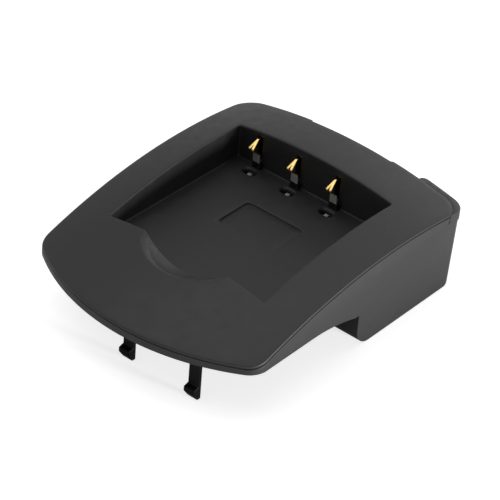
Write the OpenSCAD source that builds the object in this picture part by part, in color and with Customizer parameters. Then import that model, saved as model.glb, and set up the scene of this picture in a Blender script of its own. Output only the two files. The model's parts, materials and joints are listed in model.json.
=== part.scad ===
// Charging dock for a small camera battery: a plate with a domed deck, a square
// pocket with three contact springs, a deep block at the back and two snap hooks.
// The shapes are drawn with the pocket's floor at z = 0, its rear wall at y = 0 and
// its middle at x = 0, and placed() then sets the bottom centre at the origin.
// +X is to the right seen from the front, +Y points to the back, +Z is up.

/* [Body] */
// Width over the side walls
body_w = 61.2; // [58:0.2:66]
// Radius of the curved front lip seen from above
lip_r = 52.4; // [48:0.2:60]
// Distance from the pocket's rear wall to the tip of the front lip
lip_reach = 63.7; // [62:0.1:68]
// Distance from the pocket's rear wall to the rear edge of the top cover
cover_reach = 13.5; // [12:0.1:14]
// Distance from the pocket's rear wall to the back of the raised corner
housing_reach = 15.4; // [15:0.1:17]
// Distance from the pocket's rear wall to the housing's rear wall, at the floor's height
wall_reach = 14.85; // [14.4:0.05:15.2]
// Lean of the housing's rear wall, in degrees
rear_lean = 3.7; // [0:0.1:6]
// Radius of the rounded corners of the top cover
corner_r = 5; // [4:0.1:7]
// Thickness of the housing's side walls
wall_t = 1.6; // [1.4:0.1:1.8]

/* [Deck] */
// Height of the deck's crown above the pocket floor
crown_h = 10.25; // [9:0.05:11]
// Distance from the pocket's rear wall forward to the crown
crown_back = 8.2; // [4:0.1:10]
// Radius of the deck from front to back
deck_long_r = 141; // [130:1:170]
// Radius of the deck from side to side
deck_cross_r = 121; // [110:1:150]
// Thickness of the cover's edge where it lies on the housing
edge_t = 0.6; // [0.5:0.05:0.7]
// Thickness of the deck inside its edge
deck_t = 1.8; // [1.6:0.1:2]

/* [Pocket] */
// Width of the pocket
pocket_w = 42.8; // [40:0.1:43]
// Length of the pocket from its rear wall to its front wall
pocket_l = 42.2; // [38:0.1:42.5]
// Thickness of the pocket's walls
pocket_wall = 1.6; // [1.2:0.1:1.6]
// Thickness of the pocket's floor
pocket_floor = 1.5; // [1.2:0.1:1.5]
// Radius of the ball-shaped thumb scoop
scoop_r = 15.5; // [15:0.1:16]
// Distance from the pocket's rear wall to the middle of the thumb scoop
scoop_back = 38.3; // [37.5:0.1:39]
// Height of the thumb scoop's lowest point above the pocket floor
scoop_low = 0.1; // [0:0.05:0.4]

/* [Rear block] */
// Depth of the rear block below the pocket floor
block_depth = 14.6; // [14:0.1:16]
// Distance from the pocket's rear wall forward to the block's front face
block_front = 20.8; // [20:0.1:22]
// Depth of the thin front section below the pocket floor
skirt_depth = 3.55; // [3.4:0.05:3.8]
// Thickness of the housing's floor
floor_t = 2; // [1.8:0.1:2]

/* [Contacts] */
// Distance between two contact springs
contact_pitch = 11.05; // [10:0.05:11.5]
// Place of the middle contact spring, left of the pocket's middle
contact_mid = 4.3; // [3:0.1:5]
// Distance from the pocket's rear wall to the nose of a contact spring
nose_reach = 3.3; // [3:0.1:4.2]
// Height of the nose above the pocket floor
nose_h = 5.9; // [5.5:0.1:6.3]
// Thickness of the contact springs' strip
leaf_t = 0.3; // [0.2:0.05:0.35]
// Width of a contact spring
leaf_w = 1.9; // [1.6:0.1:2]

/* [Hooks] */
// Width of a snap hook
hook_w = 2.9; // [2.5:0.1:3.2]
// Thickness of a snap hook's blade
hook_t = 1; // [0.8:0.1:1.1]
// Distance from the pocket's rear wall to the front of the hooks' blades
hook_reach = 57.6; // [57:0.1:58]
// Place of the hook near the middle, from the middle of the plate
hook_inner_x = -1.1; // [-2:0.1:0]
// Place of the right-hand hook, from the middle of the plate
hook_outer_x = 17; // [16:0.1:17]

/* [Hidden] */
$fn = 96;
deck_fn = 240;

// Where the drawing's zero lies in the finished part
mid_y = (housing_reach - lip_reach) / 2;
half_w = body_w / 2;
tall = 40;

// Heights of the two floors and of the inside of the block
floor_top = floor_t - skirt_depth;
block_floor = floor_t - block_depth;

// The front lip's circle, and where the rounded front corners touch it
lip_centre = lip_r - lip_reach;
front_corner_y = lip_centre - sqrt(pow(lip_r - corner_r, 2) - pow(half_w - corner_r, 2));

// The scoop's ball, and about how wide it is where it meets the deck
scoop_mid_z = scoop_r + scoop_low;
scoop_rim_r = sqrt(pow(scoop_r, 2) - pow(scoop_mid_z - 4.9, 2));

// Screws
front_screw = [26, -36];
rear_screw = [24, 5.2];
board_screw = [14.5, -8.5];
boss_r = 2.6;
pilot_r = 1.05;
front_pilot_top = 2.6;
rear_pilot_top = 4;
shank_r = 1;
shank_hole_r = 1.25;
head_r = 2;
head_h = 1.2;
head_well_r = 2.35;
head_seat = 0.8;
well_wall = 1.2;
rear_seat_z = -3;

// Circuit board and what it carries
board_w = 34;
board_front = -16;
board_back = 8;
board_t = 1.2;
board_top = -6.4;
tail_y = 3.2;
tail_hole = 0.2;
output_pitch = 10;
output_y = -4.5;
output_w = 4.4;
output_l = 7;
output_t = 0.4;
lead_r = 0.3;

// Holes in the pocket floor in front of the contact springs
peep_y = -3.1;
peep_w = 3.2;
peep_l = 2.2;

// Pits in the pocket floor at the foot of the contact springs
pit_l = 1.2;
pit_depth = 0.9;

// The springs' standing leg, the tip of their upper arm and the slit in their nose
leg_y = -1.1;
leg_low = 1.6;
leg_high = 3.9;
arm_tip = [-0.9, 7.45];
arm_tip_w = 0.6;
slit_w = 0.3;
slit_l = 1;

// Shallow field in the pocket floor
label_w = 15.6;
label_l = 10.4;
label_y = -17.5;
label_r = 1.8;
label_depth = 0.35;

// The raised corner of the housing at the rear right
lug_x = 18.6;
lug_r = 1.4;
lug_low = 2.2;
lug_gap = 0.12;
shelf_z = 3;
notch_w = 22.6;
notch_depth = 0.5;
housing_corner_r = 3.4;

// Hook barb
barb = 1.35;
barb_top = -11.2;
barb_drop = 0.4;
barb_face = 1.1;
foot_l = 5;
foot_t = 0.6;
foot_gap = 0.03;

plastic = "#37383a";
black_plastic = "#141416";
gold = "#d9a93a";
steel = "#b8babd";
laminate = "#2f5a3c";

// Moves a drawing to the part's own frame
module placed() {
    translate([0, -mid_y, block_depth])
        children();
}

// Rectangle with round corners, about its middle
module round_rect(w, l, r) {
    square([w - 2 * r, l], center = true);
    square([w, l - 2 * r], center = true);
    for (sx = [-1, 1], sy = [-1, 1])
        translate([sx * (w / 2 - r), sy * (l / 2 - r)])
            circle(r = r);
}

// Outline of the plate seen from above, drawn in by inset, with its rear edge at
// reach and rear corners of rear_r
module plate_outline(inset, reach, rear_r) {
    corner_x = half_w - corner_r;
    rear_x = half_w - rear_r;
    rear_c = reach - rear_r;
    intersection() {
        translate([0, lip_centre])
            circle(r = lip_r - inset, $fn = deck_fn);
        polygon([[0, lip_centre], [-2 * corner_x, 2 * front_corner_y - lip_centre],
            [2 * corner_x, 2 * front_corner_y - lip_centre]]);
    }
    translate([-corner_x, front_corner_y])
        square([2 * corner_x, rear_c - front_corner_y]);
    translate([-half_w + inset, front_corner_y])
        square([body_w - 2 * inset, rear_c - front_corner_y]);
    for (sx = [-1, 1]) {
        translate([sx * corner_x, front_corner_y])
            circle(r = corner_r - inset);
        translate([sx * rear_x, rear_c])
            circle(r = rear_r - inset);
    }
    translate([-rear_x, rear_c - rear_r])
        square([2 * rear_x, 2 * rear_r - inset]);
}

// Everything under the domed deck, lowered by drop
module under_deck(drop) {
    translate([0, -crown_back, crown_h - deck_long_r])
        rotate([0, 90, 0])
            rotate_extrude($fn = deck_fn)
                intersection() {
                    translate([deck_long_r - deck_cross_r, 0])
                        circle(r = deck_cross_r - drop, $fn = deck_fn);
                    translate([0, -body_w])
                        square([2 * deck_long_r, 2 * body_w]);
                }
}

module column(z_low, z_high) {
    translate([0, 0, z_low])
        linear_extrude(z_high - z_low)
            children();
}

function contact_x(i) = (i - 1) * contact_pitch - contact_mid;
function output_x(i) = (i - 1) * output_pitch;

module each_front_screw() {
    for (sx = [-1, 1])
        translate([sx * front_screw[0], front_screw[1], 0])
            children();
}

module each_rear_screw() {
    for (sx = [-1, 1])
        translate([sx * rear_screw[0], rear_screw[1], 0])
            children();
}

module each_board_screw() {
    for (sx = [-1, 1])
        translate([sx * board_screw[0], board_screw[1], 0])
            children();
}

// The cover's solid parts before its openings: the deck with its thin edge, the tub
// of the pocket, the wall round the scoop and the screw posts
module cover_body() {
    difference() {
        intersection() {
            column(-tall, tall)
                plate_outline(0, cover_reach, corner_r);
            under_deck(0);
        }
        under_deck(edge_t);
    }
    difference() {
        intersection() {
            column(floor_top, tall)
                plate_outline(wall_t + 0.1, cover_reach, corner_r);
            under_deck(edge_t / 2);
        }
        under_deck(deck_t);
    }
    intersection() {
        under_deck(edge_t / 2);
        union() {
            translate([-pocket_w / 2 - pocket_wall, -pocket_l - pocket_wall, -pocket_floor])
                cube([pocket_w + 2 * pocket_wall, pocket_l + 2 * pocket_wall, tall]);
            column(-pocket_floor, tall)
                translate([0, -scoop_back])
                    circle(r = scoop_rim_r + pocket_wall);
            each_front_screw()
                column(floor_top, tall)
                    circle(r = boss_r);
            each_rear_screw()
                column(rear_seat_z, tall)
                    circle(r = boss_r);
        }
    }
    each_board_screw()
        column(board_top, -pocket_floor / 2)
            circle(r = boss_r);
}

module top_cover() {
    color(plastic)
    placed()
    difference() {
        cover_body();
        // pocket
        translate([-pocket_w / 2, -pocket_l, 0])
            cube([pocket_w, pocket_l, tall]);
        // thumb scoop
        translate([0, -scoop_back, scoop_mid_z])
            rotate_extrude()
                intersection() {
                    circle(r = scoop_r);
                    translate([0, -scoop_r])
                        square([scoop_r, 2 * scoop_r]);
                }
        // shallow field in the floor
        column(-label_depth, tall)
            translate([0, label_y])
                round_rect(label_w, label_l, label_r);
        // slots for the springs, pits at their foot and the holes in front of them
        for (i = [0 : 2]) {
            translate([contact_x(i) - leaf_w / 2 - 0.3, -0.01, 0.4])
                cube([leaf_w + 0.6, pocket_wall + 0.02, arm_tip[1]]);
            translate([contact_x(i) - leaf_w / 2 - 0.3, -pit_l, -pit_depth])
                cube([leaf_w + 0.6, pit_l, pit_depth + 1]);
            column(-tall, tall)
                translate([contact_x(i), peep_y])
                    round_rect(peep_w, peep_l, peep_l / 2 - 0.01);
        }
        // pilot holes for the screws
        each_front_screw()
            column(-tall, front_pilot_top)
                circle(r = pilot_r);
        each_rear_screw()
            column(-tall, rear_pilot_top)
                circle(r = pilot_r);
        each_board_screw()
            column(-tall, -pocket_floor)
                circle(r = pilot_r);
        // shallow cut in the rear edge
        translate([-notch_w / 2, cover_reach - notch_depth, -tall])
            cube([notch_w, notch_depth + 1, 2 * tall]);
        // room for the hooks' feet
        for (x = [hook_inner_x, hook_outer_x])
            translate([x - hook_w / 2 - 0.1, -hook_reach, floor_top - 1])
                cube([hook_w + 0.2, foot_l + hook_t + 0.1, 1 + foot_t + foot_gap]);
    }
}

// Side view of the housing, with y to the back and z up
module housing_profile() {
    lip_bottom = -skirt_depth;
    sweep_end = [-block_front - 1.2, lip_bottom - 2.3];
    front_r = 4.6;
    rear_r = 4;
    // the rear foot's circle touches the underside and the leaning wall
    rear_c = wall_reach - (block_depth - rear_r) * tan(rear_lean) - rear_r / cos(rear_lean);
    touch_z = -block_depth + rear_r - rear_r * sin(rear_lean);
    translate([-lip_reach - 1, lip_bottom])
        square([lip_reach - block_front + 2, tall]);
    // the lower edge sweeps down towards the block
    polygon(concat([[-36, lip_bottom + 1], [-36, lip_bottom]],
        [for (i = [1 : 8]) [-36 + (sweep_end[0] + 36) * i / 8,
            lip_bottom + (sweep_end[1] - lip_bottom) * pow(i / 8, 1.9)]],
        [[-block_front + 1, sweep_end[1]], [-block_front + 1, lip_bottom + 1]]));
    // the block, with a round foot at its front and at its back
    translate([-block_front, -block_depth + front_r])
        square([block_front, tall]);
    translate([-block_front + front_r, -block_depth + front_r])
        circle(r = front_r);
    translate([-block_front + front_r, -block_depth])
        square([rear_c + block_front - front_r, front_r + rear_r]);
    translate([rear_c, -block_depth + rear_r])
        circle(r = rear_r);
    translate([-1, touch_z])
        square([housing_reach + 3, tall]);
}

// Everything in front of the rear wall, which leans back and has round corners
module before_rear_wall() {
    depth = 2 * tall;
    translate([0, wall_reach, 0])
        rotate([-rear_lean, 0, 0])
            column(-tall, tall)
                translate([0, -depth])
                    round_rect(body_w, 2 * depth, housing_corner_r);
}

module housing_outside() {
    intersection() {
        column(-tall, tall)
            plate_outline(0, housing_reach + 2, housing_corner_r);
        before_rear_wall();
        under_deck(edge_t);
        rotate([90, 0, 90])
            column(-half_w - 1, half_w + 1)
                housing_profile();
    }
}

// The raised corner at the rear right: it follows the cover's corner with a fine gap, and
// its top carries on the deck
module raised_corner() {
    intersection() {
        difference() {
            column(lug_low, tall)
                intersection() {
                    plate_outline(0, housing_reach, housing_corner_r);
                    union() {
                        translate([lug_x + lug_r, 0])
                            square([half_w, housing_reach + 1]);
                        translate([lug_x, 0])
                            square([2 * lug_r, housing_reach - lug_r]);
                        translate([lug_x + lug_r, housing_reach - lug_r])
                            circle(r = lug_r);
                    }
                }
            column(-tall, tall)
                plate_outline(-lug_gap, cover_reach, corner_r);
        }
        under_deck(0);
    }
}

// Room inside the housing: shallow under the deck, deep in the rear block
module housing_inside() {
    column(floor_top, tall)
        plate_outline(wall_t, cover_reach, corner_r);
    inner_w = body_w - 2 * wall_t - 0.4;
    translate([-inner_w / 2, -block_front + floor_t, block_floor])
        cube([inner_w, block_front - floor_t + 10.4, tall]);
}

module lower_housing() {
    color(plastic)
    placed()
    difference() {
        union() {
            difference() {
                housing_outside();
                housing_inside();
                // outside the cover's rear edge and corners the wall stops short
                difference() {
                    translate([-body_w, cover_reach - corner_r, shelf_z])
                        cube([2 * body_w, 10, tall]);
                    column(0, 2 * tall)
                        plate_outline(0.01, cover_reach, corner_r);
                }
            }
            raised_corner();
            // screw wells in the block
            intersection() {
                each_rear_screw()
                    column(-tall, rear_seat_z)
                        circle(r = head_well_r + well_wall);
                housing_outside();
            }
        }
        each_front_screw() {
            column(-tall, tall)
                circle(r = shank_hole_r);
            column(-tall, floor_top - head_seat)
                circle(r = head_well_r);
        }
        each_rear_screw() {
            column(-tall, tall)
                circle(r = shank_hole_r);
            column(-tall, rear_seat_z - floor_t)
                circle(r = head_well_r);
        }
        // windows for the output contacts
        for (i = [0 : 2])
            translate([output_x(i), output_y, 0])
                column(-tall, block_floor + 1)
                    square([output_w, output_l], center = true);
        // slots that the hooks pass through
        for (x = [hook_inner_x, hook_outer_x])
            translate([x - hook_w / 2, -hook_reach, -tall])
                cube([hook_w, hook_t, tall]);
    }
}

// Block behind the pocket's rear wall that grips the three springs
module contact_carrier() {
    left = contact_x(0) - 3.2;
    right = contact_x(2) + 3.2;
    color(black_plastic)
    placed()
    difference() {
        translate([left, pocket_wall, -pocket_floor])
            cube([right - left, 3.4, 3.9]);
        for (i = [0 : 2]) {
            translate([contact_x(i) - leaf_w / 2, tail_y - leaf_t / 2, -pocket_floor - 1])
                cube([leaf_w, leaf_t, 1 + pocket_floor + 0.9 + leaf_t / 2]);
            translate([contact_x(i) - leaf_w / 2, pocket_wall - 1, 0.9 - leaf_t / 2])
                cube([leaf_w, tail_y - pocket_wall + 1, leaf_t]);
        }
    }
}

// One flat length of spring strip in the side view, from point a to point b
module leg(a, b) {
    run = b - a;
    translate(a)
        rotate(atan2(run[1], run[0]))
            translate([0, -leaf_t / 2])
                square([norm(run), leaf_t]);
}

// Bent strip in the side view: straight legs with a round bend at each corner
module strip(points) {
    for (i = [0 : len(points) - 2])
        leg(points[i], points[i + 1]);
    for (i = [1 : len(points) - 2])
        translate(points[i])
            circle(r = leaf_t / 2, $fn = 24);
}

module side_view(width) {
    rotate([90, 0, 90])
        translate([0, 0, -width / 2])
            linear_extrude(width)
                children();
}

module contact_spring(i) {
    nose = [-nose_reach, nose_h];
    color(gold)
    placed()
    translate([contact_x(i), 0, 0])
    difference() {
        union() {
            // the leg stands in front of the wall, then leans forward to the nose
            side_view(leaf_w)
                strip([[tail_y, board_top - board_t - 0.6], [tail_y, 0.9], [0, 0.9],
                    [leg_y, leg_low], [leg_y, leg_high], nose]);
            // the upper arm narrows towards its tip, and ends behind the wall
            intersection() {
                side_view(leaf_w)
                    strip([nose, arm_tip, [0.9, arm_tip[1] - 0.3]]);
                column(0, tall)
                    polygon([[-leaf_w / 2, nose[0] - 1], [leaf_w / 2, nose[0] - 1],
                        [leaf_w / 2, nose[0]], [arm_tip_w / 2, arm_tip[0]],
                        [arm_tip_w / 2, 2], [-arm_tip_w / 2, 2],
                        [-arm_tip_w / 2, arm_tip[0]], [-leaf_w / 2, nose[0]]]);
            }
            translate([-leaf_w / 2, nose[0], nose[1]])
                rotate([0, 90, 0])
                    cylinder(r = leaf_t * 0.9, h = leaf_w, $fn = 24);
            // a tongue runs forward under the floor and shows in the hole
            side_view(leaf_w - 0.5)
                strip([[tail_y, -pocket_floor - 0.5], [peep_y - 0.3, -pocket_floor - 0.5],
                    [peep_y - 0.7, -pocket_floor + 0.5]]);
        }
        // a slit parts the nose in two
        translate([-slit_w / 2, nose[0] - 1, nose[1] - 1])
            cube([slit_w, 1 + slit_l, 2]);
    }
}

module contact_spring_left() {
    contact_spring(0);
}

module contact_spring_middle() {
    contact_spring(1);
}

module contact_spring_right() {
    contact_spring(2);
}

module circuit_board() {
    color(laminate)
    placed()
    difference() {
        translate([-board_w / 2, board_front, board_top - board_t])
            cube([board_w, board_back - board_front, board_t]);
        for (i = [0 : 2]) {
            translate([contact_x(i), tail_y, 0])
                column(-tall, 0)
                    square([leaf_w + tail_hole, leaf_t + tail_hole], center = true);
            translate([output_x(i), output_y + output_l / 2 - output_t / 2, 0])
                column(-tall, 0)
                    square([2 + tail_hole, output_t + tail_hole], center = true);
        }
        each_board_screw()
            column(-tall, 0)
                circle(r = shank_hole_r);
    }
}

// Brass pad in a window under the block, with a leg up to the board
module output_contact(i) {
    pad_low = -block_depth + 0.3;
    color(gold)
    placed()
    translate([output_x(i), output_y, 0]) {
        translate([-output_w / 2, -output_l / 2, pad_low])
            cube([output_w, output_l, output_t]);
        translate([-1, output_l / 2 - output_t, pad_low])
            cube([2, output_t, board_top + 0.5 - pad_low]);
    }
}

module output_contact_left() {
    output_contact(0);
}

module output_contact_middle() {
    output_contact(1);
}

module output_contact_right() {
    output_contact(2);
}

// Small resistor lying on the board, with its two leads bent down
module axial_resistor(x, y) {
    body_r = 0.9;
    body_l = 3.4;
    span = 6;
    axis_z = board_top + body_r;
    placed()
    translate([x, y, 0]) {
        translate([-body_l / 2, 0, axis_z])
            rotate([0, 90, 0])
                cylinder(r = body_r, h = body_l, $fn = 48);
        translate([-span / 2, 0, axis_z])
            rotate([0, 90, 0])
                cylinder(r = lead_r, h = span, $fn = 24);
        for (sx = [-1, 1])
            translate([sx * span / 2, 0, board_top])
                cylinder(r = lead_r, h = body_r + lead_r, $fn = 24);
    }
}

module coding_resistor() {
    color("#b5a37c")
        axial_resistor(-3, -2.5);
}

module sense_resistor() {
    color("#b5a37c")
        axial_resistor(-3, -6.5);
}

module filter_capacitor() {
    color("#8a5a2c")
        placed()
            translate([6, -9, board_top])
                cylinder(r = 1.6, h = 3.2, $fn = 48);
}

// Pan head screw: head below, point up, seat at z = 0
module screw(length) {
    translate([0, 0, -head_h])
        difference() {
            cylinder(r = head_r, h = head_h);
            for (a = [0, 90])
                rotate(a)
                    translate([-1.1, -0.25, -0.01])
                        cube([2.2, 0.5, 0.7]);
        }
    cylinder(r = shank_r, h = length - 1.2, $fn = 48);
    translate([0, 0, length - 1.2])
        cylinder(r1 = shank_r, r2 = 0.3, h = 1.2, $fn = 48);
}

module cover_screw(x, y, seat, length) {
    color(steel)
        placed()
            translate([x, y, seat])
                screw(length);
}

module cover_screw_front_left() {
    cover_screw(-front_screw[0], front_screw[1], floor_top - head_seat, 4.5);
}

module cover_screw_front_right() {
    cover_screw(front_screw[0], front_screw[1], floor_top - head_seat, 4.5);
}

module cover_screw_rear_left() {
    cover_screw(-rear_screw[0], rear_screw[1], rear_seat_z - floor_t, 8);
}

module cover_screw_rear_right() {
    cover_screw(rear_screw[0], rear_screw[1], rear_seat_z - floor_t, 8);
}

module board_screw_left() {
    cover_screw(-board_screw[0], board_screw[1], board_top - board_t, 5);
}

module board_screw_right() {
    cover_screw(board_screw[0], board_screw[1], board_top - board_t, 5);
}

// Blade with a barb that points forward, and a foot that lies on the housing floor
module snap_hook(x) {
    front = -hook_reach;
    back = front + hook_t;
    color(black_plastic)
    placed()
    translate([x, 0, 0])
    side_view(hook_w)
    polygon([[front, floor_top], [front, barb_top], [front - barb, barb_top - barb_drop],
        [front - barb, barb_top - barb_drop - barb_face], [front, -block_depth],
        [back, -block_depth], [back, floor_top], [back + foot_l, floor_top],
        [back + foot_l, floor_top + foot_t], [back - 0.3, floor_top + foot_t],
        [back - 0.3, floor_top]]);
}

module snap_hook_inner() {
    snap_hook(hook_inner_x);
}

module snap_hook_outer() {
    snap_hook(hook_outer_x);
}

top_cover();
lower_housing();
contact_carrier();
circuit_board();
contact_spring_left();
contact_spring_middle();
contact_spring_right();
output_contact_left();
output_contact_middle();
output_contact_right();
coding_resistor();
sense_resistor();
filter_capacitor();
cover_screw_front_left();
cover_screw_front_right();
cover_screw_rear_left();
cover_screw_rear_right();
board_screw_left();
board_screw_right();
snap_hook_inner();
snap_hook_outer();
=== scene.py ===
# %% [markdown]
# # A charging dock, dressed
#
# The part is a small plastic plate that holds a camera battery while it charges. Its solids come
# packed from CAD. This lesson puts moulded surfaces over the two housings, bends the contact strips
# and the hooks with rounded edges, gives every piece its material, and sets up the studio.
# Lengths are written in millimetres where that reads better, and become metres when a mesh is made.

# %% Load the frame
import json
import math
import bmesh
import bpy
import numpy as np
from mathutils import Matrix, Vector

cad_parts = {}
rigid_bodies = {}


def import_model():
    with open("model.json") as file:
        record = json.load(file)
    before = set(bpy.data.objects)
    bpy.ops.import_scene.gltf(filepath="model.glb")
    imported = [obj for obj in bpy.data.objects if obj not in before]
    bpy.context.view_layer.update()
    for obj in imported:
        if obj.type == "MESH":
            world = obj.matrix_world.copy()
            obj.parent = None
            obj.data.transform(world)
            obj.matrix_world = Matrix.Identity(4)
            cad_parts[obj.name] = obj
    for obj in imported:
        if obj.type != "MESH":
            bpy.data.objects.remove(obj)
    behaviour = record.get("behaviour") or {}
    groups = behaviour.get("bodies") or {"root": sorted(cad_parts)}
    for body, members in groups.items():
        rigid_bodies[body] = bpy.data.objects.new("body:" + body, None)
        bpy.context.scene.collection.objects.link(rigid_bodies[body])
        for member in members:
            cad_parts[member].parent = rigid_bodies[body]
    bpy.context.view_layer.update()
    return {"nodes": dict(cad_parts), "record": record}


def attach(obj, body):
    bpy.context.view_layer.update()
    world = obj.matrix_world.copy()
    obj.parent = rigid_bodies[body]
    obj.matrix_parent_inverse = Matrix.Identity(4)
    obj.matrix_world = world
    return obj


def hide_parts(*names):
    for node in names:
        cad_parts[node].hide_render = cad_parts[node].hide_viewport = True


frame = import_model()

nodes = frame["nodes"]

# %% [markdown]
# ## The camera
#
# The camera's place was fitted to the photograph's edges. It looks from the front right and from
# above, and it is rolled a little, so it is built from its own three directions and not aimed with
# a constraint.

# %% Camera
MM = 0.001
AZIMUTH = math.radians(37.725)
ELEVATION = math.radians(35.694)
ROLL = math.radians(4.747)
TARGET = Vector((4.200, -1.684, 14.600)) * MM
DISTANCE = 512.33 * MM

toward_camera = Vector((math.sin(AZIMUTH) * math.cos(ELEVATION),
                        -math.cos(AZIMUTH) * math.cos(ELEVATION),
                        math.sin(ELEVATION)))
level_right = Vector((math.cos(AZIMUTH), math.sin(AZIMUTH), 0))
level_up = toward_camera.cross(level_right)
right = math.cos(ROLL) * level_right + math.sin(ROLL) * level_up
up = math.cos(ROLL) * level_up - math.sin(ROLL) * level_right

camera_data = bpy.data.cameras.new("camera")
camera_data.sensor_width = 36
camera_data.lens = 173.556
camera_data.clip_start = 0.02
camera = bpy.data.objects.new("camera", camera_data)
place = Matrix((right, up, toward_camera)).transposed().to_4x4()
place.translation = TARGET + toward_camera * DISTANCE
camera.matrix_world = place
bpy.context.scene.collection.objects.link(camera)
bpy.context.scene.camera = camera
print("camera at", [round(1000 * c, 1) for c in camera.matrix_world.translation], "mm")

# %% [markdown]
# ## From a table of points to a mesh
#
# Every moulded shape below is a set of rings: a closed line of points, and the next line a little
# further along the surface. Two rings with the same number of points are joined by a band of
# quads. The numbers of all corners come from one table, so no loop walks over the points.

# %% Rings to a mesh
PLACE = np.array((0.0, 24.15, 14.6))


def skin_faces(rows, columns, closed=True):
    """Corner numbers of the quads between neighbours of a rows x columns table of points."""
    table = np.arange(rows * columns).reshape(rows, columns)
    if closed:
        table = np.hstack((table, table[:, :1]))
    quads = np.stack((table[:-1, :-1], table[:-1, 1:], table[1:, 1:], table[1:, :-1]), axis=-1)
    return quads.reshape(-1, 4)


def make_mesh(name, points, quads, smooth=True):
    """A mesh from points in the drawing's millimetres and rows of four corner numbers."""
    mesh = bpy.data.meshes.new(name)
    points = (points.reshape(-1, 3) + PLACE) * MM
    mesh.vertices.add(len(points))
    mesh.vertices.foreach_set("co", points.ravel())
    mesh.loops.add(quads.size)
    mesh.loops.foreach_set("vertex_index", quads.ravel())
    mesh.polygons.add(len(quads))
    mesh.polygons.foreach_set("loop_start", np.arange(0, quads.size, 4))
    mesh.polygons.foreach_set("use_smooth", np.full(len(quads), smooth))
    mesh.update(calc_edges=True)
    mesh.validate()
    return mesh


def tidy_mesh(mesh, sharp_angle=40):
    """Merges points that lie on each other, turns all faces outwards and marks sharp edges."""
    work = bmesh.new()
    work.from_mesh(mesh)
    bmesh.ops.remove_doubles(work, verts=work.verts, dist=0.004 * MM)
    bmesh.ops.dissolve_degenerate(work, dist=0.001 * MM, edges=work.edges)
    bmesh.ops.recalc_face_normals(work, faces=work.faces)
    work.to_mesh(mesh)
    work.free()
    mesh.set_sharp_from_angle(angle=math.radians(sharp_angle))


def add_piece(name, mesh, material, slot, *replaced):
    """Puts a finished mesh in the scene on the only body, and hides the CAD parts that it stands for."""
    piece = bpy.data.objects.new(name, mesh)
    bpy.context.scene.collection.objects.link(piece)
    mesh.materials.clear()
    mesh.materials.append(material)
    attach(piece, "root")
    if replaced:
        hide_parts(*replaced)
    print(name, len(mesh.polygons), "faces")
    return piece


# %% [markdown]
# ## Finishes
#
# The housings are charcoal plastic from a spark-eroded mould: matte, with a fine grain. The hooks
# are a smoother and blacker plastic. The contacts are nickel strip with a gold-plated nose. The
# grain and the faint unevenness of a moulded face are shared by several finishes, so they come from
# one node group that is built once.

# %% A small kit for node trees
MIX_FACTOR = 0
MIX_A = 6
MIX_B = 7
MIX_RESULT = 2


def node(tree, kind, place, **settings):
    """Adds a node, sets its properties, and gives plain values to the inputs named in it."""
    made = tree.nodes.new(kind)
    made.location = place
    inputs = settings.pop("inputs", {})
    for key, value in settings.items():
        setattr(made, key, value)
    for key, value in inputs.items():
        made.inputs[key].default_value = value
    return made


def new_material(name, color, roughness, metallic=0.0):
    """A material whose shader has these plain values; returns it, its tree and its shader."""
    material = bpy.data.materials.new(name)
    material.use_nodes = True
    tree = material.node_tree
    shader = tree.nodes["Principled BSDF"]
    shader.inputs["Base Color"].default_value = (*color, 1)
    shader.inputs["Roughness"].default_value = roughness
    shader.inputs["Metallic"].default_value = metallic
    return material, tree, shader


# %% [markdown]
# ## Grain as a node group
#
# A moulded face isn't quite even: a fine grain catches the light, and over a few millimetres the tone
# and the gloss drift a little. A picture could show that, but it would need an unwrapped mesh and it
# would blur close up. Two noises on Object coordinates stay sharp, and their sizes are given in
# millimetres.

# %% Node group: moulded grain
def build_moulded_grain():
    """Height and tone of a moulded face: fine cells, softer lumps, and a slow drift."""
    group = bpy.data.node_groups.new("moulded grain", "ShaderNodeTree")
    interface = group.interface
    for name, value in (("Grain Size", 0.3), ("Lump Size", 3.0), ("Tone Low", 0.9),
                        ("Tone High", 1.1)):
        socket = interface.new_socket(name, in_out="INPUT", socket_type="NodeSocketFloat")
        socket.default_value = value
    for name in ("Height", "Tone"):
        interface.new_socket(name, in_out="OUTPUT", socket_type="NodeSocketFloat")
    given = node(group, "NodeGroupInput", (-900, 0))
    place = node(group, "ShaderNodeTexCoord", (-900, 300))
    grain_scale = node(group, "ShaderNodeMath", (-700, 100), operation="DIVIDE", inputs={0: 1000.0})
    lump_scale = node(group, "ShaderNodeMath", (-700, -100), operation="DIVIDE", inputs={0: 1000.0})
    grain = node(group, "ShaderNodeTexNoise", (-500, 200), inputs={"Detail": 3.0, "Roughness": 0.65})
    lumps = node(group, "ShaderNodeTexNoise", (-500, -100), inputs={"Detail": 2.0})
    tone = node(group, "ShaderNodeMapRange", (-250, -100), inputs={"From Min": 0.3, "From Max": 0.7})
    result = node(group, "NodeGroupOutput", (0, 0))
    link = group.links.new
    link(given.outputs["Grain Size"], grain_scale.inputs[1])
    link(given.outputs["Lump Size"], lump_scale.inputs[1])
    link(place.outputs["Object"], grain.inputs["Vector"])
    link(place.outputs["Object"], lumps.inputs["Vector"])
    link(grain_scale.outputs[0], grain.inputs["Scale"])
    link(lump_scale.outputs[0], lumps.inputs["Scale"])
    link(lumps.outputs["Fac"], tone.inputs["Value"])
    link(given.outputs["Tone Low"], tone.inputs["To Min"])
    link(given.outputs["Tone High"], tone.inputs["To Max"])
    link(grain.outputs["Fac"], result.inputs["Height"])
    link(tone.outputs["Result"], result.inputs["Tone"])
    return group


moulded_grain = build_moulded_grain()
print("group:", moulded_grain.name)


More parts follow.
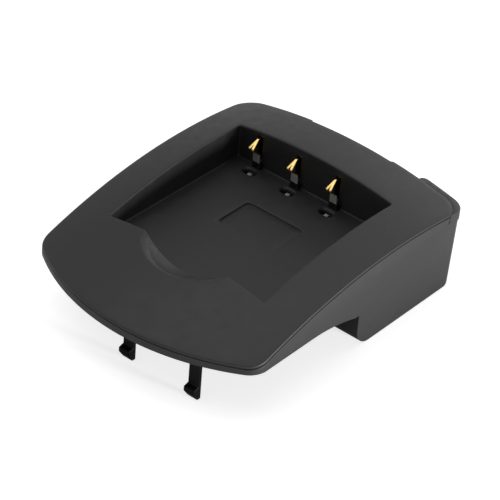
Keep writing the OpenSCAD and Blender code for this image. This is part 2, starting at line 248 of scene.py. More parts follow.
# %% Plastic finishes
def grained_plastic(name, color, roughness, grain_size, depth, strength, tone=(0.92, 1.08),
                    specular=0.3):
    """Plastic with the moulded grain in its bump and a faint drift in its colour and gloss."""
    material, tree, shader = new_material(name, color, roughness)
    shader.inputs["Specular IOR Level"].default_value = specular
    grain = node(tree, "ShaderNodeGroup", (-900, 0), node_tree=moulded_grain,
                 inputs={"Grain Size": grain_size, "Lump Size": 2.5,
                         "Tone Low": tone[0], "Tone High": tone[1]})
    bump = node(tree, "ShaderNodeBump", (-300, -300),
                inputs={"Strength": strength, "Distance": depth * MM})
    drift = node(tree, "ShaderNodeMix", (-550, 100), data_type="RGBA", blend_type="MULTIPLY")
    drift.inputs[MIX_FACTOR].default_value = 1.0
    drift.inputs[MIX_A].default_value = (*color, 1)
    rough = node(tree, "ShaderNodeMath", (-550, -100), operation="MULTIPLY", inputs={1: roughness})
    link = tree.links.new
    link(grain.outputs["Height"], bump.inputs["Height"])
    link(grain.outputs["Tone"], drift.inputs[MIX_B])
    link(grain.outputs["Tone"], rough.inputs[0])
    link(drift.outputs[MIX_RESULT], shader.inputs["Base Color"])
    link(rough.outputs[0], shader.inputs["Roughness"])
    link(bump.outputs["Normal"], shader.inputs["Normal"])
    return material


charcoal = grained_plastic("charcoal plastic", (0.015, 0.015, 0.0155), 0.50, 0.35, 0.02, 0.8,
                           specular=0.5)
black = grained_plastic("black plastic", (0.010, 0.010, 0.011), 0.30, 0.5, 0.006, 0.25)
hook_black = grained_plastic("smooth hook plastic", (0.004, 0.004, 0.0045), 0.42, 0.6, 0.006, 0.2,
                             specular=0.12)
print("plastics:", charcoal.name, "and", black.name, "and", hook_black.name)


# %% [markdown]
# ## Metals
#
# The strip was rolled and the screws were turned, so both carry fine lines along one direction. A
# noise squeezed across them draws such lines in the gloss and the bump. On the springs only the nose
# is gold: a mask on the height, made uneven by a second noise, parts it from the nickel below.

# %% Metal finishes
def brushed_metal(name, color, roughness, stretch, scale, plated_above=None, plating=None):
    """Metal with fine lines that run along one direction, from a noise squeezed on the others.
    Above a height in metres it may have a plating of another colour, with a smoother face."""
    material, tree, shader = new_material(name, color, roughness, metallic=1.0)
    place = node(tree, "ShaderNodeTexCoord", (-1100, 0))
    squeeze = node(tree, "ShaderNodeMapping", (-900, 0), inputs={"Scale": stretch})
    lines = node(tree, "ShaderNodeTexNoise", (-700, 0), inputs={"Scale": scale, "Detail": 4.0})
    cloud = node(tree, "ShaderNodeTexNoise", (-700, 250), inputs={"Scale": 600.0, "Detail": 3.0})
    rough = node(tree, "ShaderNodeMapRange", (-450, 0),
                 inputs={"To Min": roughness * 0.7, "To Max": roughness * 1.4})
    tint = node(tree, "ShaderNodeMix", (-450, 250), data_type="RGBA")
    tint.inputs[MIX_A].default_value = (*[c * 0.82 for c in color], 1)
    tint.inputs[MIX_B].default_value = (*color, 1)
    bump = node(tree, "ShaderNodeBump", (-250, -250), inputs={"Strength": 0.2, "Distance": 0.003 * MM})
    link = tree.links.new
    link(place.outputs["Object"], squeeze.inputs["Vector"])
    link(squeeze.outputs["Vector"], lines.inputs["Vector"])
    link(place.outputs["Object"], cloud.inputs["Vector"])
    link(lines.outputs["Fac"], rough.inputs["Value"])
    link(lines.outputs["Fac"], bump.inputs["Height"])
    link(cloud.outputs["Fac"], tint.inputs[MIX_FACTOR])
    link(bump.outputs["Normal"], shader.inputs["Normal"])
    if plating is None:
        link(rough.outputs["Result"], shader.inputs["Roughness"])
        link(tint.outputs[MIX_RESULT], shader.inputs["Base Color"])
        return material
    split = node(tree, "ShaderNodeSeparateXYZ", (-900, 500))
    wave = node(tree, "ShaderNodeMath", (-500, 600), operation="MULTIPLY_ADD",
                inputs={1: 0.6 * MM, 2: -0.3 * MM})
    level = node(tree, "ShaderNodeMath", (-300, 500), operation="ADD")
    mask = node(tree, "ShaderNodeMapRange", (-150, 500),
                inputs={"From Min": plated_above - 0.2 * MM, "From Max": plated_above + 0.2 * MM})
    coat = node(tree, "ShaderNodeMix", (0, 300), data_type="RGBA")
    coat.inputs[MIX_B].default_value = (*plating, 1)
    smoother = node(tree, "ShaderNodeMapRange", (0, 600),
                    inputs={"To Min": roughness, "To Max": roughness * 0.45})
    link(place.outputs["Object"], split.inputs["Vector"])
    link(cloud.outputs["Fac"], wave.inputs[0])
    link(split.outputs["Z"], level.inputs[0])
    link(wave.outputs[0], level.inputs[1])
    link(level.outputs[0], mask.inputs["Value"])
    link(mask.outputs["Result"], coat.inputs[MIX_FACTOR])
    link(tint.outputs[MIX_RESULT], coat.inputs[MIX_A])
    link(mask.outputs["Result"], smoother.inputs["Value"])
    link(coat.outputs[MIX_RESULT], shader.inputs["Base Color"])
    link(smoother.outputs["Result"], shader.inputs["Roughness"])
    return material


gold = brushed_metal("gold-plated pad", (0.90, 0.62, 0.22), 0.24, (1.0, 0.15, 0.15), 9000.0)
spring_metal = brushed_metal("nickel strip with a gold nose", (0.66, 0.65, 0.62), 0.55,
                             (1.0, 0.15, 0.15), 9000.0, 18.4 * MM, (0.92, 0.64, 0.24))
steel = brushed_metal("zinc-plated steel", (0.60, 0.61, 0.62), 0.32, (1.0, 1.0, 0.2), 5000.0)
print("metals:", gold.name, "and", spring_metal.name, "and", steel.name)

# %% [markdown]
# ## Finishes for the solids
#
# The board, its parts, the pads and the screws are hidden or small, and their solids have the right
# shape. They stay as they are and only get a finish, each by the slot that its record names.

# %% Board and its parts
board_green = grained_plastic("board laminate", (0.02, 0.10, 0.045), 0.35, 0.2, 0.004, 0.3, (0.85, 1.15))
resistor_tan = grained_plastic("resistor lacquer", (0.50, 0.38, 0.22), 0.35, 0.3, 0.01, 0.3)
capacitor_brown = grained_plastic("capacitor lacquer", (0.30, 0.13, 0.05), 0.3, 0.3, 0.01, 0.3)
slot_finish = {"housing_plastic": charcoal, "black_plastic": black, "board": board_green,
               "contact_gold": gold, "resistor_body": resistor_tan,
               "capacitor_body": capacitor_brown, "screw_steel": steel}

for subpart in frame["record"]["subparts"]:
    solid = nodes[subpart["node"]]
    for place_number in range(max(1, len(solid.material_slots))):
        if not solid.material_slots:
            solid.data.materials.append(slot_finish[subpart["material_slot"]])
        solid.material_slots[place_number].material = slot_finish[subpart["material_slot"]]

# %% [markdown]
# ## Outlines as distances
#
# The cover's edge profile has to run round the plate at an even distance from its rim, and round
# the pocket in the same way. So each outline is a function that gives the signed distance of any
# point from it, negative inside. A ring at distance d is then where rays from one point inside meet
# that distance. The plate and the pocket use the same rays, so their rings have the same number of
# points and can be joined.

# %% The plate's measures
# CROWN and SCOOP_CENTRE are y and height. The halves and REAR_CUT are across and along the plate.
HALF_WIDTH = 30.6
LIP_RADIUS = 52.4
LIP_CENTRE = -11.3
FRONT_CORNER = 5.0
CORNER_Y = LIP_CENTRE - math.sqrt((LIP_RADIUS - FRONT_CORNER) ** 2 - (HALF_WIDTH - FRONT_CORNER) ** 2)
COVER_REAR = 13.5
DOME_ACROSS = 121.0
DOME_ALONG = 141.0
CROWN = (-8.2, 10.25)
REAR_CUT = (11.3, 0.5)
POCKET_HALF = (21.4, 21.1)
POCKET_CORNER = 0.5
SCOOP_RADIUS = 15.5
SCOOP_CENTRE = (-38.3, 15.6)
SCOOP_END = 10.6
FIELD_HALF = (7.8, 5.2)
FIELD_CORNER = 1.1
RAY_CENTRE = np.array((0.0, -27.0))
FIELD_CENTRE = np.array((0.0, -17.5))


def deck_height(x, y):
    """Height of the domed deck: an arc of radius 121 from side to side, turned about an axis under
    the plate so that from front to back it is an arc of radius 141 with its crown at y = -8.2."""
    sag = DOME_ACROSS - np.sqrt(DOME_ACROSS ** 2 - x ** 2)
    return CROWN[1] - DOME_ALONG + np.sqrt((DOME_ALONG - sag) ** 2 - (y - CROWN[0]) ** 2)


def plate_distance(x, y, rear=COVER_REAR, rear_corner=FRONT_CORNER):
    """Signed distance from the plate's outline. In the front it is the distance from the lip's arc
    or from the middle of a round corner; elsewhere that of a box with round corners."""
    x = np.abs(x)
    corner_x = HALF_WIDTH - FRONT_CORNER
    ahead = LIP_CENTRE - y
    in_arc = x * (LIP_CENTRE - CORNER_Y) < corner_x * ahead
    from_arc = np.hypot(x, ahead) - LIP_RADIUS
    from_corner = np.hypot(np.maximum(x - corner_x, 0), CORNER_Y - y) - FRONT_CORNER
    across = x - (HALF_WIDTH - rear_corner)
    along = y - (rear - rear_corner)
    from_box = np.hypot(np.maximum(across, 0), np.maximum(along, 0)) - rear_corner
    from_box = from_box + np.minimum(np.maximum(across, along), 0)
    return np.where(y > CORNER_Y, from_box, np.where(in_arc, from_arc, from_corner))


def round_box_distance(x, y, half_x, half_y, radius):
    """Signed distance from a rectangle with round corners about the origin."""
    across = np.abs(x) - (half_x - radius)
    along = np.abs(y) - (half_y - radius)
    outside = np.hypot(np.maximum(across, 0), np.maximum(along, 0))
    return outside + np.minimum(np.maximum(across, along), 0) - radius


print("front corners at y =", round(CORNER_Y, 2), "mm;",
      "crown", round(float(deck_height(0, CROWN[0])), 2), "mm")


# %% The cover's outlines
def cover_distance(x, y, height):
    """The plate's outline, less a shallow cut in the middle of its rear edge."""
    cut = np.maximum(np.abs(x) - REAR_CUT[0], COVER_REAR - REAR_CUT[1] - y)
    return np.maximum(plate_distance(x, y), -cut)


def pocket_distance(x, y, height):
    """The pocket, 42.8 by 42.2 with small corners, joined to the thumb scoop. The scoop is a ball
    of radius 15.5, so at each height it is a circle by the rule of Pythagoras. A soft minimum
    rounds the edges where the two meet."""
    box = round_box_distance(x, y + POCKET_HALF[1], *POCKET_HALF, POCKET_CORNER)
    circle = np.sqrt(np.maximum(SCOOP_RADIUS ** 2 - (SCOOP_CENTRE[1] - height) ** 2, 0))
    scoop = np.hypot(x, y - SCOOP_CENTRE[0]) - circle
    soft = 0.25
    mix = np.clip(0.5 + 0.5 * (scoop - box) / soft, 0, 1)
    return scoop * (1 - mix) + box * mix - soft * mix * (1 - mix)


def field_distance(x, y, height):
    """The shallow field in the pocket's floor."""
    return round_box_distance(x, y - FIELD_CENTRE[1], *FIELD_HALF, FIELD_CORNER)


def ring(distance, level, height=0.0, centre=RAY_CENTRE):
    """Where the rays from centre reach the given signed distance: the reach is halved over and
    over until the distance fits. height may differ from ray to ray."""
    low = np.full(len(RAYS), 0.5)
    high = np.full(len(RAYS), 90.0)
    for _ in range(40):
        reach = (low + high) / 2
        x, y = (centre[:, None] + reach * RAYS.T)
        inside = distance(x, y, height) < level
        low = np.where(inside, reach, low)
        high = np.where(inside, high, reach)
    return centre + reach[:, None] * RAYS


def ray_angles():
    """Angles of all rays: one each degree, and more where they pass a tight corner."""
    even = np.linspace(-180, 180, 360, endpoint=False)
    pocket_front = -2 * POCKET_HALF[1]
    corners = [(side * POCKET_HALF[0], y) for side in (-1, 1) for y in (0.0, pocket_front)]
    corners += [(side * SCOOP_END, pocket_front) for side in (-1, 1)]
    corners += [(side * REAR_CUT[0], COVER_REAR) for side in (-1, 1)]
    tight = [math.degrees(math.atan2(y - RAY_CENTRE[1], x - RAY_CENTRE[0])) for x, y in corners]
    near = [angle + np.linspace(-1.8, 1.8, 25) for angle in tight]
    return np.unique(np.round(np.concatenate([even, *near]), 2))


RAY_ANGLES = np.radians(ray_angles())
RAYS = np.stack((np.cos(RAY_ANGLES), np.sin(RAY_ANGLES)), axis=1)
print("rays:", len(RAYS))

# %% [markdown]
# ## The top cover
#
# The real cover is one moulding: a domed deck with a thin edge that laps over the housing, and a tub
# hanging from it for the battery. Its section is a line that could be drawn in one stroke: from
# under the tub, up its outside, out under the deck, round the edge, over the deck, down the pocket's
# wall with a small round at top and bottom, and across the floor to the shallow field. Carried round
# the plate, that stroke is the whole skin.

# %% Rings of the top cover
EDGE = [(-1.70, -0.66), (-0.45, -0.66), (-0.26, -0.64), (-0.12, -0.58), (-0.03, -0.50), (0.0, -0.42),
        (0.0, -0.30), (-0.03, -0.18), (-0.09, -0.09), (-0.18, -0.03), (-0.32, 0.0)]
RIM = [(0.42, 0.0), (0.28, -0.012), (0.15, -0.06), (0.06, -0.15), (0.015, -0.27), (0.0, -0.40)]
FILLET_RADIUS = 0.22
WALL_STEPS = 24
TUB_WALL = 1.6
TUB_UNDER = -1.5
EAVE = 1.7
DECK_UNDER = -1.8
SCOOP_RIM_HEIGHT = 5.4
FIELD_FLOOR = -0.35
FILLET = [(0.0, 1.0), (0.05, 0.69), (0.2, 0.4), (0.4, 0.2), (0.69, 0.05), (1.0, 0.0)]
FIELD_EDGE = [(0.10, 0.0), (0.03, -0.015), (0.0, -0.06), (-0.01, -0.34), (-0.07, -0.39), (-0.22, -0.35)]


def with_height(points, height):
    """Joins plan points and their heights."""
    return np.column_stack((points, np.broadcast_to(height, len(points))))


def between(a, b, count, ends=(False, False)):
    """Rings that blend from ring a to ring b in equal steps."""
    start = 0 if ends[0] else 1
    stop = count + 1 if ends[1] else count
    steps = np.arange(start, stop)[:, None, None] / count
    return list(a + (b - a) * steps)


def on_deck(points, drop=0.0):
    """Plan points lifted to the deck, less a drop."""
    return with_height(points, deck_height(points[:, 0], points[:, 1]) + drop)


def pocket_wall_ring(level, height):
    """The pocket's outline at a height, moved outwards by level."""
    return with_height(ring(pocket_distance, level, height), height)


def cover_rings():
    """The stroke described above, as a list of rings from under the tub to the field's middle."""
    rings = []
    under = with_height(ring(pocket_distance, TUB_WALL, SCOOP_RIM_HEIGHT), TUB_UNDER)
    middle_under = with_height(np.tile(RAY_CENTRE, (len(RAYS), 1)), TUB_UNDER)
    rings += [middle_under] + between(middle_under, under, 4) + [under]
    tub_top = on_deck(under[:, :2], DECK_UNDER)
    rings += between(under, tub_top, 4) + [tub_top]
    eave = on_deck(ring(cover_distance, -EAVE), DECK_UNDER)
    rings += between(tub_top, eave, 4) + [eave]
    edge = [on_deck(ring(cover_distance, inset), drop) for inset, drop in EDGE]
    rings += edge
    rim_plan = ring(pocket_distance, 0.0, 3.9)
    rim_height = deck_height(rim_plan[:, 0], rim_plan[:, 1])
    rim = [on_deck(ring(pocket_distance, outset, rim_height), drop) for outset, drop in RIM]
    deck = [on_deck(r[:, :2]) for r in between(edge[-1], rim[0], 12)]
    rings += deck + rim
    for step in np.arange(1, WALL_STEPS) / WALL_STEPS:
        height = rim[-1][:, 2] * (1 - step) + FILLET_RADIUS * step
        rings.append(pocket_wall_ring(0.0, height))
    rings += [pocket_wall_ring(-FILLET_RADIUS * inward, FILLET_RADIUS * up) for inward, up in FILLET]
    field = [with_height(ring(field_distance, level, 0.0, FIELD_CENTRE), height)
             for level, height in FIELD_EDGE]
    rings += between(rings[-1], field[0], 10) + field
    middle = with_height(np.tile(FIELD_CENTRE, (len(RAYS), 1)), FIELD_FLOOR)
    rings += between(field[-1], middle, 3) + [middle]
    return np.array(rings)


cover_points = cover_rings()
cover_mesh = make_mesh("top cover", cover_points, skin_faces(*cover_points.shape[:2]))
print("cover: rings and rays", cover_points.shape[:2])


# %% [markdown]
# ## Openings
#
# The pocket's floor has three holes with flared rims, and its rear wall has slots for the springs.
# They could be drawn into the table of rings, but would bend all rings near them. So they are cut
# afterwards: each tool is a stack of outlines, and the exact boolean leaves clean edges.

# %% Cutting tools for the openings
CONTACT_X = (-15.35, -4.30, 6.75)


def stack(outlines, axis, levels):
    """Outlines stood one behind the other along an axis and joined by walls, with closed ends: a
    solid to cut with. Each outline is in the other two directions."""
    solid = np.empty((len(outlines) + 2, len(outlines[0]), 3))
    others = [a for a in (0, 1, 2) if a != axis]
    solid[1:-1, :, others] = outlines
    solid[0, :, others] = np.mean(outlines[0], axis=0)[:, None]
    solid[-1, :, others] = np.mean(outlines[-1], axis=0)[:, None]
    solid[:, :, axis] = np.array([levels[0], *levels, levels[-1]])[:, None]
    return solid


def block(low, high):
    """A box between two corners, as a stack along x."""
    outline = np.array(((low[1], low[2]), (high[1], low[2]), (high[1], high[2]), (low[1], high[2])))
    return stack((outline, outline), 0, (low[0], high[0]))


def oval(x, y, width, length, count=40, power=3):
    """A superellipse about (x, y): a softly squared oval, squarer for a higher power."""
    angle = np.linspace(0, 2 * np.pi, count, endpoint=False)
    across = np.sign(np.cos(angle)) * np.abs(np.cos(angle)) ** (2 / power)
    along = np.sign(np.sin(angle)) * np.abs(np.sin(angle)) ** (2 / power)
    return np.column_stack((x + across * width / 2, y + along * length / 2))


def join_solids(mesh, solids, operation="DIFFERENCE"):
    """Takes solids out of a mesh, or adds them, with the exact boolean; returns the new mesh."""
    body = bpy.data.objects.new("body", mesh)
    tools = bpy.data.collections.new("tools")
    for number, solid in enumerate(solids):
        tool_mesh = make_mesh("tool", solid, skin_faces(*solid.shape[:2]), smooth=False)
        tidy_mesh(tool_mesh)
        tools.objects.link(bpy.data.objects.new("tool %d" % number, tool_mesh))
    bpy.context.scene.collection.objects.link(body)
    step = body.modifiers.new("join", "BOOLEAN")
    step.operation = operation
    step.operand_type = "COLLECTION"
    step.collection = tools
    step.solver = "EXACT"
    graph = bpy.context.evaluated_depsgraph_get()
    result = bpy.data.meshes.new_from_object(body.evaluated_get(graph))
    for tool in list(tools.objects):
        bpy.data.objects.remove(tool)
    bpy.data.collections.remove(tools)
    bpy.data.objects.remove(body)
    result.name = mesh.name
    return result


# %% Openings in the top cover
PEEP_Y = -3.1
openings = []
for x in CONTACT_X:
    hole = [oval(x, PEEP_Y, width, length) for width, length in
            ((3.1, 2.1), (3.1, 2.1), (3.3, 2.3), (3.9, 2.8), (4.6, 3.4))]
    openings.append(stack(hole, 2, (-1.8, -0.5, -0.28, -0.02, 0.3)))
    openings.append(block((x - 1.25, -0.3, 0.4), (x + 1.25, 1.9, 1.5)))
    openings.append(block((x - 0.7, -0.3, 1.2), (x + 0.7, 1.9, 7.85)))
    openings.append(block((x - 1.25, -1.2, -0.9), (x + 1.25, 0.0, 0.7)))
tidy_mesh(cover_mesh)
cover_mesh = join_solids(cover_mesh, openings)
cover_mesh.set_sharp_from_angle(angle=math.radians(40))
add_piece("moulded_top_cover", cover_mesh, charcoal, "housing_plastic", "top_cover")

# %% [markdown]
# ## The lower housing
#
# Under the cover sits a second moulding with flat sides, a thin floor at the front and a deep block
# at the back. Its faces are flat or evenly curved already, so a merged copy of its solid keeps them,
# and a fine bevel gives every edge the small round that a mould leaves. The raised corner and the
# rim are moved by a few tenths of a millimetre, for a clean edge and a dark parting line.

# %% Lower housing
def rounded_copy(name, solid, width, material, slot, adjust=None):
    """A merged copy of a CAD node whose edges get a round of the given width in millimetres.
    A function may adjust the points first."""
    mesh = solid.data.copy()
    mesh.name = name
    work = bmesh.new()
    work.from_mesh(mesh)
    bmesh.ops.remove_doubles(work, verts=work.verts, dist=0.002 * MM)
    bmesh.ops.dissolve_limit(work, angle_limit=math.radians(0.5), verts=work.verts, edges=work.edges)
    work.to_mesh(mesh)
    work.free()
    if adjust:
        points = np.empty(3 * len(mesh.vertices), dtype=np.float32)
        mesh.vertices.foreach_get("co", points)
        points = points.reshape(-1, 3) / MM - PLACE
        mesh.vertices.foreach_set("co", ((adjust(points) + PLACE) * MM).ravel())
    mesh.polygons.foreach_set("use_smooth", np.full(len(mesh.polygons), True))
    piece = add_piece(name, mesh, material, slot, solid.name)
    rounding = piece.modifiers.new("rounding", "BEVEL")
    rounding.width = width * MM
    rounding.segments = 3
    rounding.limit_method = "ANGLE"
    rounding.angle_limit = math.radians(35)
    rounding.harden_normals = True
    return piece


RAISED_DROP = 0.28
RAISED_INWARD = 0.07
RIM_DROP = 0.16


def adjust_housing(points):
    """Lowers the top of the raised corner, so that the deck's round edge stands just above it, and
    draws its inner face nearer to the deck. Lowers the rim too, which leaves a dark parting line
    under the cover's edge."""
    x, y, z = points.T
    distance = plate_distance(x, y)
    raised = (distance > 0.05) & (z > 3.5)
    inner = raised & (distance < 0.3) & (y > 5)
    toward = np.column_stack((x - HALF_WIDTH + FRONT_CORNER, y - COVER_REAR + FRONT_CORNER))
    toward = np.where(toward > 0, toward, 0)
    toward /= np.maximum(np.linalg.norm(toward, axis=1), 1e-6)[:, None]
    rim = ~raised & (z > deck_height(x, y) - 1.1) & (distance > -0.9)
    moved = points - np.outer(raised, (0, 0, RAISED_DROP)) - np.outer(rim, (0, 0, RIM_DROP))
    moved[:, :2] -= toward * (RAISED_INWARD * inner)[:, None]
    print("housing points moved: raised", raised.sum(), "inner", inner.sum(), "rim", rim.sum())
    return moved


rounded_copy("moulded_lower_housing", nodes["lower_housing"], 0.25, charcoal,
             "housing_plastic", adjust_housing)

# %% [markdown]
# ## Contact springs
#
# Each spring is one strip of thin metal with a thinner tongue. It comes out of the wall, stands up,
# leans forward to a nose that is split in two, and goes back to a narrow tip behind the wall. So it
# is a small rounded section carried along a bent line, and the section's width changes on the way.

# %% A strip along a bent line
LEAF = 0.3


def bent_line(corners, radius, steps=7):
    """A line through corners (y, z) whose bends are arcs: from each corner the arc's ends lie back
    along both legs by radius times the tangent of half the turn. A row also holds the direction."""
    corners = np.array(corners, dtype=float)
    legs = np.diff(corners, axis=0)
    legs /= np.linalg.norm(legs, axis=1)[:, None]
    points = [corners[:1]]
    for corner, before, after in zip(corners[1:-1], legs[:-1], legs[1:]):
        turn = math.acos(np.clip(before @ after, -1, 1))
        back = radius * math.tan(turn / 2)
        side = np.sign(before[0] * after[1] - before[1] * after[0])
        angle = np.linspace(0, turn, steps)[:, None]
        across = side * np.array((-before[1], before[0]))
        arc = corner - before * back + radius * (np.sin(angle) * before + (1 - np.cos(angle)) * across)
        points.append(arc)
    points = np.vstack(points + [corners[-1:]])
    direction = np.gradient(points, axis=0)
    return points, direction / np.linalg.norm(direction, axis=1)[:, None]


def strip_solid(x, corners, radius, widths, round_edge=0.09):
    """Rings of a strip's section along its bent line. The section is a rectangle with round
    corners, as wide as widths says at the share of the line's length it stands at."""
    line, direction = bent_line(corners, radius)
    run = np.concatenate(((0,), np.cumsum(np.linalg.norm(np.diff(line, axis=0), axis=1))))
    width = np.interp(run / run[-1], *np.transpose(widths))
    angle = np.radians([[0, 30, 60, 90]]) + np.radians([[0], [90], [180], [270]])
    corner_x = np.array([[1], [-1], [-1], [1]]) + 0 * angle
    corner_n = np.array([[1], [1], [-1], [-1]]) + 0 * angle
    across = corner_x.ravel() * (width[:, None] / 2 - round_edge) + round_edge * np.cos(angle).ravel()
    out = corner_n.ravel() * (LEAF / 2 - round_edge) + round_edge * np.sin(angle).ravel()
    normal = np.column_stack((-direction[:, 1], direction[:, 0]))
    solid = np.empty((len(line), angle.size, 3))
    solid[:, :, 0] = x + across
    solid[:, :, 1] = line[:, :1] + normal[:, :1] * out
    solid[:, :, 2] = line[:, 1:] + normal[:, 1:] * out
    ends = [np.broadcast_to(solid[at].mean(axis=0), (1, angle.size, 3)) for at in (0, -1)]
    return np.concatenate((ends[0], solid, ends[1]))


print("strip bends:", len(bent_line([(0, 0), (1, 0), (1, 1)], 0.3)[0]), "points for one bend")

# %% Three springs
SPRING_LINE = [(3.2, -8.2), (3.2, 0.9), (0.0, 0.9), (-1.0, 1.3), (-1.05, 3.85), (-3.35, 5.85),
               (-0.9, 7.45), (0.9, 7.15)]
SPRING_WIDTHS = [(0.0, 1.9), (0.69, 1.9), (0.79, 1.5), (0.83, 1.45), (0.92, 0.55), (1.0, 0.45)]
TONGUE_LINE = [(3.2, -2.0), (-2.3, -2.0), (-2.6, -0.9), (-3.85, -0.9)]
for x, side in zip(CONTACT_X, ("left", "middle", "right")):
    strip = strip_solid(x, SPRING_LINE, 0.28, SPRING_WIDTHS)
    strip_mesh = make_mesh("contact strip " + side, strip, skin_faces(*strip.shape[:2]))
    tidy_mesh(strip_mesh)
    tongue = strip_solid(x, TONGUE_LINE, 0.3, [(0, 1.4), (0.7, 1.4), (0.8, 1.1), (1, 0.9)])
    strip_mesh = join_solids(strip_mesh, [tongue], "UNION")
    slit = np.array(((x - 0.34, -4.0), (x + 0.34, -4.0), (x + 0.04, -2.3), (x - 0.04, -2.3)))
    strip_mesh = join_solids(strip_mesh, [stack((slit, slit), 2, (4.7, 7.0))])
    strip_mesh.set_sharp_from_angle(angle=math.radians(50))
    add_piece("contact_strip_" + side, strip_mesh, spring_metal, "contact_gold",
              "contact_spring_" + side)

# %% [markdown]
# ## Feet of the springs
#
# Each spring stands in a small black block whose edges are soft. A cube with a bevel would do, but a
# stack of superellipses gives the soft corners and the rounded ends in one table of points.

# %% Feet of the springs
def soft_block(low, high, edge):
    """A box with round edges: superellipses of power 6 stacked upwards, drawn in at both ends by
    a quarter circle."""
    low, high = np.array(low), np.array(high)
    rise = edge * (1 - np.cos(np.linspace(0, np.pi / 2, 5)))
    inset = edge * (1 - np.sin(np.linspace(0, np.pi / 2, 5)))
    levels = np.concatenate((low[2] + rise, high[2] - rise[::-1]))
    insets = np.concatenate((inset, inset[::-1]))
    size = high - low
    outlines = [oval(*(low + high)[:2] / 2, size[0] - 2 * i, size[1] - 2 * i, 48, 6) for i in insets]
    return stack(outlines, 2, levels)


for x, side in zip(CONTACT_X, ("left", "middle", "right")):
    foot = soft_block((x - 1.24, -1.19, -0.88), (x + 1.24, -0.01, 1.6), 0.12)
    foot_mesh = make_mesh("spring foot " + side, foot, skin_faces(*foot.shape[:2]))
    tidy_mesh(foot_mesh)
    add_piece("spring_foot_" + side, foot_mesh, black, "black_plastic")

# %% [markdown]
# ## Snap hooks
#
# The two hooks are smooth black mouldings with blunt barbs. Rounded copies of their solids do.

# %% Hooks
for side in ("inner", "outer"):
    rounded_copy("moulded_snap_hook_" + side, nodes["snap_hook_" + side], 0.24, hook_black,
                 "black_plastic")

# %% [markdown]
# ## The studio
#
# A white floor catches a soft shadow. Wide soft lamps hang in front to the left and above, two weak
# ones stand behind, and a low one stands to the right, as in the photograph, where the side wall of
# the rear block is the lightest face. Their powers were fitted to the tones of the photograph.

# %% Floor
def white_floor():
    """A pale floor that camera and mirror rays see brighter, while it still takes the shadow.
    Mirror rays see a painted shadow under the object: their added brightness is nil inside a rectangle
    about the origin and grows to full over 25 mm outside it."""
    material, tree, shader = new_material("studio floor", (0.80, 0.80, 0.80), 0.9)
    rays = node(tree, "ShaderNodeLightPath", (-600, 200))
    place = node(tree, "ShaderNodeTexCoord", (-1400, 0))
    size = node(tree, "ShaderNodeVectorMath", (-1200, 0), operation="ABSOLUTE")
    past = node(tree, "ShaderNodeVectorMath", (-1000, 0), operation="SUBTRACT",
                inputs={1: (24 * MM, 34 * MM, 0)})
    sides = node(tree, "ShaderNodeSeparateXYZ", (-800, 0))
    outside = node(tree, "ShaderNodeMath", (-600, 0), operation="MAXIMUM")
    # painted shadow for mirror rays: 0 inside the rectangle under the object, 1 from 25 mm outside it
    painted_shadow_fade = node(tree, "ShaderNodeMapRange", (-400, 0), inputs={"From Max": 25 * MM})
    mirrored = node(tree, "ShaderNodeMath", (-300, 200), operation="MULTIPLY")
    to_camera = node(tree, "ShaderNodeMath", (-300, 350), operation="MULTIPLY", inputs={1: 0.74})
    to_mirror = node(tree, "ShaderNodeMath", (-150, 200), operation="MULTIPLY", inputs={1: 0.45})
    strength = node(tree, "ShaderNodeMath", (0, 350), operation="MAXIMUM")
    lift = node(tree, "ShaderNodeEmission", (100, 250), inputs={"Color": (1, 1, 1, 1)})
    added = node(tree, "ShaderNodeAddShader", (300, 100))
    link = tree.links.new
    link(place.outputs["Object"], size.inputs[0])
    link(size.outputs[0], past.inputs[0])
    link(past.outputs[0], sides.inputs["Vector"])
    link(sides.outputs["X"], outside.inputs[0])
    link(sides.outputs["Y"], outside.inputs[1])
    link(outside.outputs[0], painted_shadow_fade.inputs["Value"])
    link(painted_shadow_fade.outputs["Result"], mirrored.inputs[0])
    link(rays.outputs["Is Glossy Ray"], mirrored.inputs[1])
    link(mirrored.outputs[0], to_mirror.inputs[0])
    link(rays.outputs["Is Camera Ray"], to_camera.inputs[0])
    link(to_camera.outputs[0], strength.inputs[0])
    link(to_mirror.outputs[0], strength.inputs[1])
    link(strength.outputs[0], lift.inputs["Strength"])
    link(shader.outputs[0], added.inputs[0])
    link(lift.outputs[0], added.inputs[1])
    link(added.outputs[0], tree.nodes["Material Output"].inputs["Surface"])
    return material


floor_mesh = bpy.data.meshes.new("floor")
floor_mesh.from_pydata([(-2, -2, -0.0001), (2, -2, -0.0001), (2, 2, -0.0001), (-2, 2, -0.0001)], [],
                       [(0, 1, 2, 3)])
floor = bpy.data.objects.new("floor", floor_mesh)
floor_mesh.materials.append(white_floor())
bpy.context.scene.collection.objects.link(floor)


# %% [markdown]
# ## Lamps and surround
#
# Area lamps give soft light, and the larger they are the softer the shadow. The surround adds a
# little even light. The camera sees it white, and so do mirror rays near the horizon, which gives
# the plastic its pale sheen at a low angle without more light on the object.

# %% Lamps and world
def soft_lamp(name, place, aim, size, power):
    """A square area lamp at a place in metres that looks at a point."""
    data = bpy.data.lights.new(name, "AREA")
    data.size = size
    data.energy = power
    lamp = bpy.data.objects.new(name, data)
    lamp.location = place
    lamp.rotation_euler = (Vector(aim) - Vector(place)).to_track_quat("-Z", "Y").to_euler()
    bpy.context.scene.collection.objects.link(lamp)


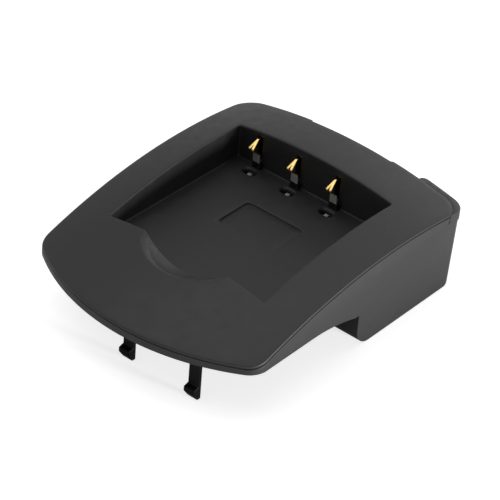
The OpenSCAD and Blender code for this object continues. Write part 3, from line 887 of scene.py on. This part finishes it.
soft_lamp("front", (-0.30, -0.15, 0.80), (0, 0, 0.01), 0.7, 1.6)
soft_lamp("overhead", (0.0, 0.30, 0.80), (0, 0, 0.01), 0.7, 1.1)
soft_lamp("back", (-0.20, 0.85, 0.35), (0, 0, 0.01), 0.4, 0.5)
soft_lamp("side", (0.90, 0.10, 0.05), (0, 0, 0.01), 0.12, 10.5)
soft_lamp("low back", (0.0, 0.90, 0.17), (0, 0, 0.01), 0.25, 0.4)


def studio_world():
    """A white surround. Mirror rays see it white at the horizon and grey overhead, as in a light
    tent with a dark ceiling, and the soft light that it sheds is low."""
    world = bpy.data.worlds.new("studio")
    world.use_nodes = True
    sky = world.node_tree
    background = sky.nodes["Background"]
    background.inputs["Color"].default_value = (1, 1, 1, 1)
    rays = node(sky, "ShaderNodeLightPath", (-800, 0))
    direction = node(sky, "ShaderNodeTexCoord", (-1200, -300))
    height = node(sky, "ShaderNodeSeparateXYZ", (-1000, -300))
    mirrored = node(sky, "ShaderNodeMapRange", (-800, -300),
                    inputs={"From Min": 0.05, "From Max": 0.60, "To Min": 1.0, "To Max": 0.35})
    not_seen = node(sky, "ShaderNodeMapRange", (-500, -100), inputs={"To Min": 0.16})
    seen = node(sky, "ShaderNodeMath", (-500, 100), operation="MAXIMUM")
    level = node(sky, "ShaderNodeMapRange", (-200, 0), inputs={"To Max": 1.0})
    link = sky.links.new
    link(direction.outputs["Generated"], height.inputs["Vector"])
    link(height.outputs["Z"], mirrored.inputs["Value"])
    link(rays.outputs["Is Glossy Ray"], not_seen.inputs["Value"])
    link(mirrored.outputs["Result"], not_seen.inputs["To Max"])
    link(rays.outputs["Is Camera Ray"], seen.inputs[0])
    link(rays.outputs["Is Transmission Ray"], seen.inputs[1])
    link(seen.outputs[0], level.inputs["Value"])
    link(not_seen.outputs["Result"], level.inputs["To Min"])
    link(level.outputs["Result"], background.inputs["Strength"])
    return world


world = studio_world()
bpy.context.scene.world = world
bpy.context.scene.view_settings.view_transform = "Standard"
